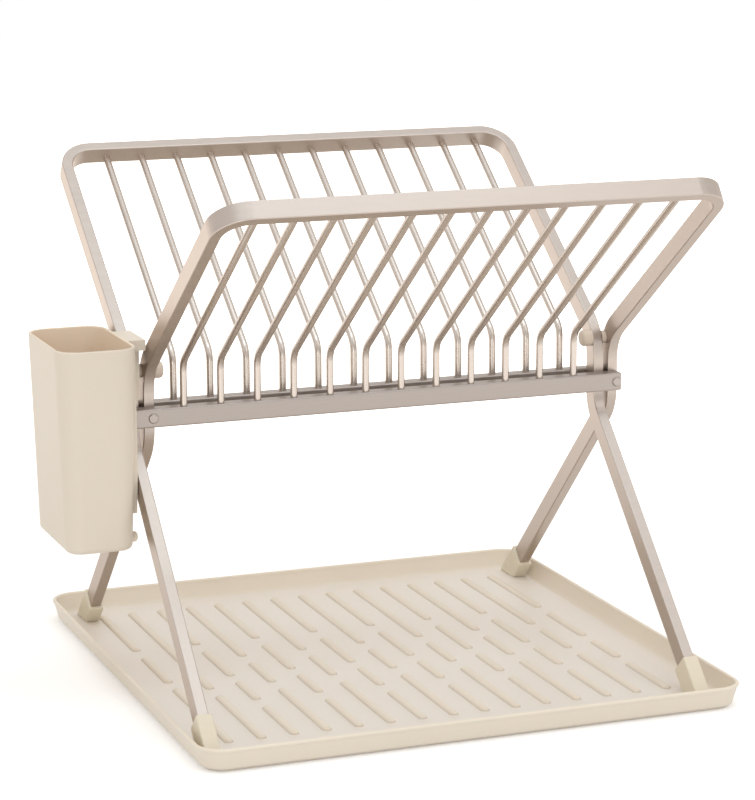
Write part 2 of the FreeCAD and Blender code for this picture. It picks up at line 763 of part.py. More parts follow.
for frame_name, turned in (("front", False), ("rear", True)):
    make_frame(frame_name + "_frame_bar", turned)
    make_rail(frame_name + "_rod_rail", turned)
    for index in range(ROD_COUNT):
        make_rod(frame_name + "_rod_" + str(index + 1).zfill(2), turned, index)
    for spot, place in zip(("inner", "outer"), rivet_places()):
        make_rivet(frame_name + "_rail_rivet_" + spot, turned, place)
    make_cap(frame_name + "_foot_cap_inner", turned, LEFT_OUT, LEFT_IN)
    make_cap(frame_name + "_foot_cap_outer", turned, RIGHT_IN, RIGHT_OUT)
make_pivot("left", False)
make_pivot("right", True)
make_tray()
make_holder()
doc.recompute()

for obj in doc.Objects:
    if "Invalid" in obj.State or "Error" in obj.State:
        raise RuntimeError("failed: " + obj.Name + " " + str(obj.State))
for body in bodies:
    shape = body.Shape
    if shape.isNull() or not shape.isValid() or len(shape.Solids) != 1:
        raise RuntimeError("bad shape: " + body.Label)
os.makedirs("parts", exist_ok=True)
for body in bodies:
    box = body.Shape.BoundBox
    body.Shape.exportStep("parts/" + body.Label + ".step")
    low = (round(box.XMin, 1), round(box.YMin, 1), round(box.ZMin, 1))
    high = (round(box.XMax, 1), round(box.YMax, 1), round(box.ZMax, 1))
    print(body.Label, low, high, round(body.Shape.Volume))
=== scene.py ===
import math

import bmesh
import bpy
from mathutils import Matrix, Vector


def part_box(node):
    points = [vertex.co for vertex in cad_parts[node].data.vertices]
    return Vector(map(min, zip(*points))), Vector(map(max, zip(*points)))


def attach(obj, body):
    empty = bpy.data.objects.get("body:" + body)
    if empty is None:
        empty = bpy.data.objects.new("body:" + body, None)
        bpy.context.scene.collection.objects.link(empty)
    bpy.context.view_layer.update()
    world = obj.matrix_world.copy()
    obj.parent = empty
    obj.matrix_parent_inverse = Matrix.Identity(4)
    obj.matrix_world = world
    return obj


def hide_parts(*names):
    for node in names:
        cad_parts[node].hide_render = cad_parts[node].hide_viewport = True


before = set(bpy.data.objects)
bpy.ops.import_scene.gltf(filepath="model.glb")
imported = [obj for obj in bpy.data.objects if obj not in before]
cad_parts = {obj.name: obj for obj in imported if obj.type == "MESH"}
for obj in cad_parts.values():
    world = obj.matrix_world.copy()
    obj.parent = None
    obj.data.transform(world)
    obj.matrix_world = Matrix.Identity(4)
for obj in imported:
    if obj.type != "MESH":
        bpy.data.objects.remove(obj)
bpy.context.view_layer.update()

bl_info = {
    "name": "Folding dish rack",
    "version": (1, 0, 0),
    "blender": (4, 5, 0),
    "location": "View3D > Sidebar > Dish rack",
    "description": "Makes the dish rack's plate rods and drip tray, and finishes the rest",
    "category": "Object",
}

MM = 0.001
FRAMES = ("front", "rear")
SIDES = ("left", "right")
LEG_ENDS = ("inner", "outer")


class RackSizes(bpy.types.PropertyGroup):
    """Sizes of the pieces that are made here, in metres."""

    rod_count: bpy.props.IntProperty(
        name="Rods", description="Plate rods on each frame", default=12)
    rod_pitch: bpy.props.FloatProperty(
        name="Rod pitch", description="From one rod's middle to the next",
        default=0.0275, subtype="DISTANCE")
    rod_radius: bpy.props.FloatProperty(
        name="Rod radius", description="Half the rod's thickness",
        default=0.00265, subtype="DISTANCE")
    rod_bend: bpy.props.FloatProperty(
        name="Rod bend", description="Radius of the rod's one bend",
        default=0.015, subtype="DISTANCE")
    rod_forward: bpy.props.FloatProperty(
        name="Rod forward", description="From the rack's middle plane to the rod's upright part",
        default=0.0125, subtype="DISTANCE")
    rod_offset: bpy.props.FloatProperty(
        name="Rod offset", description="How far the rods lie below the arms' middle plane",
        default=0.0032, subtype="DISTANCE")
    rod_low: bpy.props.FloatProperty(
        name="Rod foot", description="Height of the rods' lower ends, inside the rail",
        default=0.2007, subtype="DISTANCE")
    arm_angle: bpy.props.FloatProperty(
        name="Arm angle", description="The arms' lean from upright",
        default=math.radians(53.7), subtype="ANGLE")
    arm_kink: bpy.props.FloatProperty(
        name="Arm kink", description="Height at which the arms bend out",
        default=0.234, subtype="DISTANCE")
    arm_reach: bpy.props.FloatProperty(
        name="Arm reach", description="From the kink to the rods' upper ends",
        default=0.2245, subtype="DISTANCE")
    tray_lean: bpy.props.FloatProperty(
        name="Tray lean", description="How far the tray's wall leans out",
        default=0.004, subtype="DISTANCE")
    tray_wall: bpy.props.FloatProperty(
        name="Tray wall", description="Thickness of the tray's wall",
        default=0.0022, subtype="DISTANCE")
    tray_floor: bpy.props.FloatProperty(
        name="Tray floor", description="Height of the tray's floor",
        default=0.003, subtype="DISTANCE")
    tray_corner: bpy.props.FloatProperty(
        name="Tray corner", description="Radius of the tray's corners at the rim",
        default=0.020, subtype="DISTANCE")
    tray_roll: bpy.props.FloatProperty(
        name="Tray rim", description="Thickness of the rolled rim",
        default=0.0030, subtype="DISTANCE")
    rib_pitch: bpy.props.FloatProperty(
        name="Rib pitch", description="From one column of ribs to the next",
        default=0.0235, subtype="DISTANCE")
    rib_width: bpy.props.FloatProperty(
        name="Rib width", description="Width of a floor rib",
        default=0.0068, subtype="DISTANCE")
    rib_height: bpy.props.FloatProperty(
        name="Rib height", description="Height of a floor rib",
        default=0.0020, subtype="DISTANCE")
    cup_width: bpy.props.FloatProperty(
        name="Cup width", description="Width of the cutlery holder's cup at its rim",
        default=0.0574, subtype="DISTANCE")
    cup_depth: bpy.props.FloatProperty(
        name="Cup depth", description="Cup's size from front to back at its rim",
        default=0.1025, subtype="DISTANCE")
    cup_corner: bpy.props.FloatProperty(
        name="Cup corner", description="Radius of the cup's upright corners",
        default=0.016, subtype="DISTANCE")
    cup_lean: bpy.props.FloatProperty(
        name="Cup lean", description="How far the cup's walls lean in",
        default=math.radians(1.9), subtype="ANGLE")


class RackColours(bpy.types.PropertyGroup):
    """Colours of the finishes, as linear values."""

    metal: bpy.props.FloatVectorProperty(
        name="Metal", description="Satin champagne metal of the frame bars",
        size=3, default=(0.490, 0.420, 0.370), subtype="COLOR", min=0, max=1)
    rail: bpy.props.FloatVectorProperty(
        name="Rail", description="The cooler, darker metal of the rails, rivets and pins",
        size=3, default=(0.390, 0.342, 0.312), subtype="COLOR", min=0, max=1)
    rod: bpy.props.FloatVectorProperty(
        name="Rod", description="The plate rods' lighter, glossier metal",
        size=3, default=(0.565, 0.495, 0.440), subtype="COLOR", min=0, max=1)
    edge_tint: bpy.props.FloatVectorProperty(
        name="Edge tint", description="Tint of the metal where it is seen at a low angle",
        size=3, default=(0.92, 0.85, 0.79), subtype="COLOR", min=0, max=1)
    plastic: bpy.props.FloatVectorProperty(
        name="Plastic", description="Beige plastic of the tray",
        size=3, default=(0.800, 0.730, 0.630), subtype="COLOR", min=0, max=1)
    # The tray floor's tone is partly its matte moulded finish and partly painted light from the
    # lamp overhead: paler and cooler than the walls.
    floor_plate_grain_and_light: bpy.props.FloatVectorProperty(
        name="Tray floor", description="The tray's floor, which is moulded with a matte grain",
        size=3, default=(0.795, 0.745, 0.690), subtype="COLOR", min=0, max=1)
    # The ribs are the tray's plastic painted darker: a painted shade for their smoother, glossier
    # look.
    rib: bpy.props.FloatVectorProperty(
        name="Rib", description="The tray's smooth floor ribs",
        size=3, default=(0.770, 0.695, 0.595), subtype="COLOR", min=0, max=1)
    holder: bpy.props.FloatVectorProperty(
        name="Holder", description="Beige plastic of the cutlery holder",
        size=3, default=(0.765, 0.700, 0.608), subtype="COLOR", min=0, max=1)
    # Painted light: the cup's shaded inside is painted warmer and lighter for the light that
    # bounces inside it.
    holder_inside_warm_light: bpy.props.FloatVectorProperty(
        name="Holder inside", description="The inside of the cutlery holder, which glows warmer",
        size=3, default=(0.860, 0.745, 0.620), subtype="COLOR", min=0, max=1)
    knob: bpy.props.FloatVectorProperty(
        name="Knob", description="Pivot knobs and washers",
        size=3, default=(0.670, 0.565, 0.475), subtype="COLOR", min=0, max=1)
    cap: bpy.props.FloatVectorProperty(
        name="Cap", description="Foot caps",
        size=3, default=(0.740, 0.685, 0.565), subtype="COLOR", min=0, max=1)
    floor: bpy.props.FloatVectorProperty(
        name="Floor", description="The pale floor under the rack",
        size=3, default=(0.88, 0.90, 0.93), subtype="COLOR", min=0, max=1)


def sizes():
    """The sizes that the scene holds."""
    return bpy.context.scene.rack_sizes


def colours():
    """The colours that the scene holds."""
    return bpy.context.scene.rack_colours


# Node helpers

# A colour mix's inputs and its output, by their place on the node
MIX_FACTOR, MIX_FIRST, MIX_SECOND = 0, 6, 7
MIX_RESULT = 2


def add_node(tree, kind, inputs=(), **properties):
    """A node of that kind, with its properties and then its inputs set."""
    node = tree.nodes.new(kind)
    for key, value in properties.items():
        setattr(node, key, value)
    for name, amount in dict(inputs).items():
        node.inputs[name].default_value = amount
    return node


def plug(tree, start, end):
    """Link an output to an input."""
    tree.links.new(start, end)


def fill(tree, socket, value):
    """Set an input to a number or a tuple, or link it to another node's output."""
    if isinstance(value, (int, float, tuple)):
        socket.default_value = value
    else:
        plug(tree, value, socket)


def maths(tree, operation, *values, clamp=False):
    """The output of a Math node whose inputs are numbers or sockets."""
    node = add_node(tree, "ShaderNodeMath", operation=operation, use_clamp=clamp)
    for socket, value in zip(node.inputs, values):
        fill(tree, socket, value)
    return node.outputs[0]


def vector_maths(tree, operation, *values):
    """A Vector Math node whose inputs are linked to sockets."""
    node = add_node(tree, "ShaderNodeVectorMath", operation=operation)
    for socket, value in zip(node.inputs, values):
        plug(tree, value, socket)
    return node


def mix_colour(tree, factor, first, second):
    """The first colour where the factor is 0 and the second where it is 1."""
    node = add_node(tree, "ShaderNodeMix", data_type="RGBA")
    for index, value in ((MIX_FACTOR, factor), (MIX_FIRST, first), (MIX_SECOND, second)):
        fill(tree, node.inputs[index], value)
    return node.outputs[MIX_RESULT]


def ranged(tree, value, low, high):
    """A value from 0 to 1 stretched to run from low to high."""
    node = add_node(tree, "ShaderNodeMapRange", inputs={"To Min": low, "To Max": high})
    plug(tree, value, node.inputs["Value"])
    return node.outputs["Result"]


def object_place(tree):
    """Where a point of the surface lies, in the object's own coordinates."""
    return add_node(tree, "ShaderNodeTexCoord").outputs["Object"]


def noise(tree, place, scale, detail, roughness=0.5):
    """A noise's value from 0 to 1; scale is a number or a socket."""
    node = add_node(tree, "ShaderNodeTexNoise", inputs={"Detail": detail, "Roughness": roughness})
    plug(tree, place, node.inputs["Vector"])
    fill(tree, node.inputs["Scale"], scale)
    return node.outputs["Fac"]


def group_tree(name, kind, inputs, outputs):
    """A node group with named inputs and outputs, and its two end nodes."""
    tree = bpy.data.node_groups.new(name, kind)
    for label, socket, value in inputs:
        item = tree.interface.new_socket(name=label, in_out="INPUT", socket_type=socket)
        if value is not None:
            item.default_value = value
    for label, socket in outputs:
        tree.interface.new_socket(name=label, in_out="OUTPUT", socket_type=socket)
    return tree, tree.nodes.new("NodeGroupInput"), tree.nodes.new("NodeGroupOutput")


def use_group(tree, name, **values):
    """A shared effect placed in a tree with its own values; it is built on its first use."""
    node = tree.nodes.new("ShaderNodeGroup")
    node.node_tree = bpy.data.node_groups.get(name) or EFFECTS[name](name)
    for label, amount in values.items():
        node.inputs[label.replace("_", " ")].default_value = amount
    return node


# Shared effects

# The grain's second, coarser noise, and its share of the height
COARSE_SCALE = 60.0
COARSE_SHARE = 0.6
# How fast an edge's mask rises as the surface bends away
WEAR_AND_HIGHLIGHT_GAIN = 9.0
# How fast a mask rises from its border, for each metre
BORDER_GAIN = 2000.0


def grain_group(name):
    """Fine moulded or lacquered grain: a speckle, a slow cloud and a height for bump."""
    tree, start, end = group_tree(
        name, "ShaderNodeTree",
        [("Grain Scale", "NodeSocketFloat", 900.0), ("Cloud Scale", "NodeSocketFloat", 9.0)],
        [("Cloud", "NodeSocketFloat"), ("Speckle", "NodeSocketFloat"),
         ("Height", "NodeSocketFloat")])
    place = object_place(tree)
    fine = noise(tree, place, start.outputs["Grain Scale"], detail=2.0, roughness=0.6)
    coarse = noise(tree, place, COARSE_SCALE, detail=2.0)
    cloud = noise(tree, place, start.outputs["Cloud Scale"], detail=3.0)
    plug(tree, cloud, end.inputs["Cloud"])
    plug(tree, fine, end.inputs["Speckle"])
    height = maths(tree, "ADD", fine, maths(tree, "MULTIPLY", coarse, COARSE_SHARE))
    plug(tree, height, end.inputs["Height"])
    return tree


def wear_and_highlight_group(name):
    """A mask that rises towards 1 on the edges, broken up by noise; it marks edges that are partly
    rubbed by use and partly given a painted highlight.
    """
    tree, start, end = group_tree(
        name, "ShaderNodeTree",
        [("Radius", "NodeSocketFloat", 0.0008), ("Breakup", "NodeSocketFloat", 120.0)],
        [("Mask", "NodeSocketFloat")])
    bevel = add_node(tree, "ShaderNodeBevel", samples=4)
    plug(tree, start.outputs["Radius"], bevel.inputs["Radius"])
    geometry = add_node(tree, "ShaderNodeNewGeometry")
    match = vector_maths(tree, "DOT_PRODUCT", bevel.outputs["Normal"], geometry.outputs["Normal"])
    bend = maths(tree, "SUBTRACT", 1.0, match.outputs["Value"])
    spots = noise(tree, object_place(tree), start.outputs["Breakup"], detail=3.0)
    raised = maths(tree, "MULTIPLY", bend, WEAR_AND_HIGHLIGHT_GAIN)
    plug(tree, maths(tree, "MULTIPLY", raised, spots, clamp=True), end.inputs["Mask"])
    return tree


def level_group(name):
    """A mask that is 1 at one height and fades to 0 a band above and below it."""
    tree, start, end = group_tree(
        name, "ShaderNodeTree",
        [("Height", "NodeSocketFloat", 0.0030), ("Band", "NodeSocketFloat", 0.0004)],
        [("Mask", "NodeSocketFloat")])
    split = add_node(tree, "ShaderNodeSeparateXYZ")
    plug(tree, object_place(tree), split.inputs["Vector"])
    away = maths(tree, "SUBTRACT", split.outputs["Z"], start.outputs["Height"])
    share = maths(tree, "DIVIDE", maths(tree, "ABSOLUTE", away), start.outputs["Band"])
    plug(tree, maths(tree, "SUBTRACT", 1.0, share, clamp=True), end.inputs["Mask"])
    return tree


def inner_wall_group(name):
    """A mask that is 1 on the inside of a round-cornered cup whose walls lean in downwards."""
    tree, start, end = group_tree(
        name, "ShaderNodeTree",
        [("Centre", "NodeSocketVector", (0, 0, 0)), ("Half X", "NodeSocketFloat", 0.03),
         ("Half Y", "NodeSocketFloat", 0.05), ("Corner", "NodeSocketFloat", 0.016),
         ("Lean", "NodeSocketFloat", 0.033), ("Top", "NodeSocketFloat", 0.26),
         ("Bottom", "NodeSocketFloat", 0.115), ("Wall", "NodeSocketFloat", 0.0009)],
        [("Mask", "NodeSocketFloat")])
    centred = vector_maths(tree, "SUBTRACT", object_place(tree), start.outputs["Centre"])
    split = add_node(tree, "ShaderNodeSeparateXYZ")
    plug(tree, centred.outputs["Vector"], split.inputs["Vector"])
    height = split.outputs["Z"]
    below = maths(tree, "SUBTRACT", start.outputs["Top"], height)
    lean = maths(tree, "MULTIPLY", below, start.outputs["Lean"])
    squares = []
    for axis in ("X", "Y"):
        straight = maths(tree, "SUBTRACT", start.outputs["Half " + axis], start.outputs["Corner"])
        away = maths(tree, "SUBTRACT", maths(tree, "ABSOLUTE", split.outputs[axis]), straight)
        past = maths(tree, "MAXIMUM", away, 0.0)
        squares.append(maths(tree, "MULTIPLY", past, past))
    reach = maths(tree, "SQRT", maths(tree, "ADD", *squares))
    outer = maths(tree, "SUBTRACT", start.outputs["Corner"], maths(tree, "ADD", reach, lean))
    depth = maths(tree, "SUBTRACT", outer, start.outputs["Wall"])
    inside = maths(tree, "MULTIPLY", depth, BORDER_GAIN, clamp=True)
    over_floor = maths(tree, "SUBTRACT", height, start.outputs["Bottom"])
    above = maths(tree, "MULTIPLY", over_floor, BORDER_GAIN, clamp=True)
    plug(tree, maths(tree, "MULTIPLY", inside, above), end.inputs["Mask"])
    return tree


def streak_group(name):
    """Long faint streaks along one axis, as drawn and lacquered metal has."""
    tree, start, end = group_tree(
        name, "ShaderNodeTree",
        [("Stretch", "NodeSocketVector", (40.0, 700.0, 700.0))],
        [("Streak", "NodeSocketFloat")])
    drawn = vector_maths(tree, "MULTIPLY", object_place(tree), start.outputs["Stretch"])
    streaks = noise(tree, drawn.outputs["Vector"], 1.0, detail=2.0)
    plug(tree, streaks, end.inputs["Streak"])
    return tree


EFFECTS = {
    "Surface grain": grain_group,
    "Edge wear": wear_and_highlight_group,
    "Level band": level_group,
    "Inner wall": inner_wall_group,
    "Drawn streaks": streak_group,
}


# Finishes

# A tone is a gain on the finish's own colour, and a share says how much of it shows. The
# glow is the light that scatters under the plastic's skin. Depths, bands and rises are in
# metres.
METAL_COAT = 0.15
METAL_COAT_ROUGHNESS = 0.30
METAL_ROUGHNESS_SPREAD = 0.06
METAL_CLOUD_TONE = 0.90
METAL_CLOUD_SHARE = 0.35
# The metal's edge tone and share: the edges are paler, partly from rubbing and partly as a painted
# highlight.
METAL_EDGE_TONE = 1.30
METAL_EDGE_SHARE = 0.55
METAL_EDGE_ROUGHNESS = -0.08
METAL_SPECKLE_HEIGHT = 0.5
METAL_BUMP = 0.10
METAL_BUMP_DEPTH = 0.00006

PLASTIC_GLOW = 0.04
PLASTIC_GLOW_DEPTH = 0.002
PLASTIC_DARK_TONE = 0.95
PLASTIC_LIGHT_TONE = 1.04
PLASTIC_SPECKLE_TONE = 0.86
PLASTIC_SPECKLE_SHARE = 0.10
# The plastic's edge tone and share: the edges are paler, partly from rubbing and partly as a
# painted highlight.
PLASTIC_EDGE_TONE = 1.18
PLASTIC_EDGE_SHARE = 0.45
PLASTIC_EDGE_ROUGHNESS = -0.10
PLASTIC_SMOOTHER = 0.05
PLASTIC_ROUGHER = 0.06
PLASTIC_BUMP = 0.22

FLOOR_GRAIN_SPREAD = 0.05
FLOOR_BAND = 0.0004
# The painted shade along a rib's foot: its height above the floor, its band, its tone and its
# share.
RIB_SHADE_RISE = 0.0002
RIB_SHADE_BAND = 0.0011
RIB_SHADE_TONE = 0.78
RIB_SHADE_SHARE = 0.75
CUP_FLOOR_RISE = 0.0015


def tinted(colour, gain=1.0):
    """The colour with an alpha of 1, lighter or darker by the given factor."""
    return tuple(min(1.0, part * gain) for part in colour) + (1.0,)


def new_material(name, values):
    """A material, its node tree and its shader, whose own sockets are set from values."""
    material = bpy.data.materials.new(name)
    material.use_nodes = True
    tree = material.node_tree
    shader = next(node for node in tree.nodes if node.type == "BSDF_PRINCIPLED")
    for label, value in values.items():
        shader.inputs[label].default_value = value
    return material, tree, shader


def share_of(tree, node, output, share):
    """One of a node's outputs times a number."""
    return maths(tree, "MULTIPLY", node.outputs[output], share)


def surface(tree, shader, colour, rough, height, strength, distance):
    """Give a shader its colour, its roughness and its bump."""
    plug(tree, colour, shader.inputs["Base Color"])
    plug(tree, rough, shader.inputs["Roughness"])
    bump = add_node(tree, "ShaderNodeBump", inputs={"Strength": strength, "Distance": distance})
    plug(tree, height, bump.inputs["Height"])
    plug(tree, bump.outputs["Normal"], shader.inputs["Normal"])


def metal_material(name, colour, stretch, roughness, streak_depth=0.06, metallic=0.92):
    """Satin champagne metal with drawn streaks, fine grain and bright edges, partly rubbed by use
    and partly a painted highlight.
    """
    material, tree, shader = new_material(name, {
        "Metallic": metallic, "Specular Tint": tinted(colours().edge_tint),
        "Coat Weight": METAL_COAT, "Coat Roughness": METAL_COAT_ROUGHNESS})
    streaks = use_group(tree, "Drawn streaks", Stretch=stretch)
    grain = use_group(tree, "Surface grain", Grain_Scale=1400.0, Cloud_Scale=14.0)
    wear_and_highlight = use_group(tree, "Edge wear", Radius=0.0007, Breakup=90.0)
    streak = streaks.outputs["Streak"]
    base = mix_colour(
        tree, streak, tinted(colour, 1 - streak_depth), tinted(colour, 1 + streak_depth))
    clouds = ranged(tree, grain.outputs["Cloud"], 0.0, METAL_CLOUD_SHARE)
    cloudy = mix_colour(tree, clouds, base, tinted(colour, METAL_CLOUD_TONE))
    # Paler edges: partly rubbing, partly a painted highlight along them.
    worn_and_lit = mix_colour(tree, share_of(tree, wear_and_highlight, "Mask", METAL_EDGE_SHARE), cloudy,
                      tinted(colour, METAL_EDGE_TONE))
    drawn = ranged(
        tree, streak, roughness - METAL_ROUGHNESS_SPREAD, roughness + METAL_ROUGHNESS_SPREAD)
    rough = maths(tree, "ADD", drawn, share_of(tree, wear_and_highlight, "Mask", METAL_EDGE_ROUGHNESS))
    height = maths(tree, "ADD", streak, share_of(tree, grain, "Speckle", METAL_SPECKLE_HEIGHT))
    surface(tree, shader, worn_and_lit, rough, height, METAL_BUMP, METAL_BUMP_DEPTH)
    return material


def plastic_material(name, colour, roughness=0.42, depth=0.00005, gloss=0.45, cover=None):
    """Satin moulded plastic: slow colour drift, fine texture and slightly paler edges, partly
    rubbed by use and partly a painted highlight.

    A cover takes the tree, the colour so far and the grain, and returns the colour with a
    part of the surface in another tone.
    """
    material, tree, shader = new_material(name, {
        "Specular IOR Level": gloss, "Subsurface Weight": PLASTIC_GLOW,
        "Subsurface Scale": PLASTIC_GLOW_DEPTH})
    grain = use_group(tree, "Surface grain", Grain_Scale=1100.0, Cloud_Scale=7.0)
    wear_and_highlight = use_group(tree, "Edge wear", Radius=0.0009, Breakup=60.0)
    drift = mix_colour(tree, grain.outputs["Cloud"], tinted(colour, PLASTIC_DARK_TONE),
                       tinted(colour, PLASTIC_LIGHT_TONE))
    speckled = mix_colour(tree, share_of(tree, grain, "Speckle", PLASTIC_SPECKLE_SHARE), drift,
                          tinted(colour, PLASTIC_SPECKLE_TONE))
    # Paler edges: partly rubbing, partly a painted highlight along them.
    paler = mix_colour(tree, share_of(tree, wear_and_highlight, "Mask", PLASTIC_EDGE_SHARE), speckled,
                       tinted(colour, PLASTIC_EDGE_TONE))
    if cover is not None:
        paler = cover(tree, paler, grain)
    drifting = ranged(tree, grain.outputs["Cloud"], roughness - PLASTIC_SMOOTHER,
                      roughness + PLASTIC_ROUGHER)
    rough = maths(tree, "ADD", drifting, share_of(tree, wear_and_highlight, "Mask", PLASTIC_EDGE_ROUGHNESS))
    surface(tree, shader, paler, rough, grain.outputs["Height"], PLASTIC_BUMP, depth)
    return material


def floor_grain_and_light_cover(tree, under, grain):
    """The matte grain of the tray's flat floor, in a paler, cooler tone that is partly the moulded
    finish and partly painted light from above.
    """
    plate = colours().floor_plate_grain_and_light
    flat = use_group(tree, "Level band", Height=sizes().tray_floor, Band=FLOOR_BAND)
    speck = mix_colour(tree, grain.outputs["Speckle"], tinted(plate, 1 - FLOOR_GRAIN_SPREAD),
                       tinted(plate, 1 + FLOOR_GRAIN_SPREAD))
    return mix_colour(tree, flat.outputs["Mask"], under, speck)


def rib_foot_shade_cover(tree, under, grain):
    """Painted shade: a darker line along a rib's foot, in the crease where it meets the floor."""
    low = use_group(tree, "Level band", Height=sizes().tray_floor + RIB_SHADE_RISE,
                    Band=RIB_SHADE_BAND)
    return mix_colour(tree, share_of(tree, low, "Mask", RIB_SHADE_SHARE), under,
                      tinted(colours().rib, RIB_SHADE_TONE))


def holder_warm_light_cover(tree, under, grain):
    """Painted light: the shaded inside of the cutlery holder's cup is tinted warmer, as light
    bounced inside it.
    """
    s = sizes()
    low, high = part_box("cutlery_holder")
    centre = (low[0] + s.cup_width / 2, low[1] + s.cup_depth / 2, 0.0)
    inner = use_group(
        tree, "Inner wall", Centre=centre, Half_X=s.cup_width / 2, Half_Y=s.cup_depth / 2,
        Corner=s.cup_corner, Lean=math.tan(s.cup_lean), Top=high[2],
        Bottom=low[2] + CUP_FLOOR_RISE)
    return mix_colour(tree, inner.outputs["Mask"], under, tinted(colours().holder_inside_warm_light))


# Mesh helpers

# The least corner radius of a ring, so that no two of its points fall together
LEAST_RADIUS = 0.00002


def new_object(name, data):
    """An object for a mesh, a lamp or a camera, linked to the scene."""
    piece = bpy.data.objects.new(name, data)
    bpy.context.scene.collection.objects.link(piece)
    return piece


def only_material(mesh, material):
    """Give a mesh this one material."""
    mesh.materials.clear()
    mesh.materials.append(material)


def finish_piece(piece, material, body):
    """Give a piece its material and smooth shading, and let it ride on a body."""
    only_material(piece.data, material)
    piece.data.shade_smooth()
    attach(piece, body)


def dress(nodes, material):
    """Give CAD nodes their finish."""
    for name in nodes:
        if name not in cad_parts:
            raise RuntimeError("the frame has no node " + name)
        only_material(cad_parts[name].data, material)


def rounded_ring(half_x, half_y, radius, steps):
    """Points round a rectangle with round corners, anticlockwise seen from above."""
    points = []
    corners = ((1, 1, 0), (-1, 1, 1), (-1, -1, 2), (1, -1, 3))
    for sx, sy, quarter in corners:
        for step in range(steps + 1):
            angle = (quarter + step / steps) * math.pi / 2
            x = sx * (half_x - radius) + radius * math.cos(angle)
            y = sy * (half_y - radius) + radius * math.sin(angle)
            points.append((x, y))
    return points


def ring_mesh(name, levels, steps, centre=(0, 0, 0)):
    """A closed mesh through rounded rectangles: each level is half X, half Y, radius, height."""
    work = bmesh.new()
    rings = []
    for half_x, half_y, radius, height in levels:
        ring = rounded_ring(half_x, half_y, max(radius, LEAST_RADIUS), steps)
        rings.append([work.verts.new((x + centre[0], y + centre[1], height + centre[2]))
                      for x, y in ring])
    for low, high in zip(rings, rings[1:]):
        for index in range(len(low)):
            after = (index + 1) % len(low)
            work.faces.new((low[index], low[after], high[after], high[index]))
    work.faces.new(list(reversed(rings[0])))
    work.faces.new(rings[-1])
    mesh = bpy.data.meshes.new(name)
    work.to_mesh(mesh)
    work.free()
    return mesh


def evaluated_mesh(piece):
    """The piece's mesh with its modifiers applied; the modifiers are then removed."""
    graph = bpy.context.evaluated_depsgraph_get()
    graph.update()
    mesh = bpy.data.meshes.new_from_object(piece.evaluated_get(graph))
    piece.modifiers.clear()
    return mesh


def run_nodes(name, base, group, values, body):
    """Run a Geometry Nodes tree on a base mesh and keep the result as a plain mesh."""
    piece = new_object(name, base)
    modifier = piece.modifiers.new("Make", "NODES")
    modifier.node_group = group
    for item in group.interface.items_tree:
        if item.item_type == "SOCKET" and item.in_out == "INPUT" and item.name in values:
            modifier[item.identifier] = values[item.name]
    mesh = evaluated_mesh(piece)
    if not mesh.polygons:
        raise RuntimeError("no faces came out of " + group.name)
    piece.data = mesh
    finish_piece(piece, values["Material"], body)
    return piece


def row_inputs(pitch, count):
    """The inputs of a tree that ends in a row, with the row's usual pitch and count."""
    return [("Geometry", "NodeSocketGeometry", None), ("Pitch", "NodeSocketFloat", pitch),
            ("Count", "NodeSocketInt", count), ("Material", "NodeSocketMaterial", None)]


def end_in_row(tree, start, end, instance):
    """End a tree with copies in a row along X, made real and given the material."""
    step = add_node(tree, "ShaderNodeCombineXYZ")
    plug(tree, start.outputs["Pitch"], step.inputs["X"])
    row = add_node(tree, "GeometryNodeMeshLine", mode="OFFSET")
    plug(tree, start.outputs["Count"], row.inputs["Count"])
    plug(tree, step.outputs["Vector"], row.inputs["Offset"])
    copies = add_node(tree, "GeometryNodeInstanceOnPoints")
    plug(tree, row.outputs["Mesh"], copies.inputs["Points"])
    plug(tree, instance, copies.inputs["Instance"])
    real = add_node(tree, "GeometryNodeRealizeInstances")
    plug(tree, copies.outputs["Instances"], real.inputs["Geometry"])
    coat = add_node(tree, "GeometryNodeSetMaterial")
    plug(tree, real.outputs["Geometry"], coat.inputs["Geometry"])
    plug(tree, start.outputs["Material"], coat.inputs["Material"])
    plug(tree, coat.outputs["Geometry"], end.inputs["Geometry"])


# The plate rods

ROD_BEND_STEPS = 14
ROD_ROUND_STEPS = 24


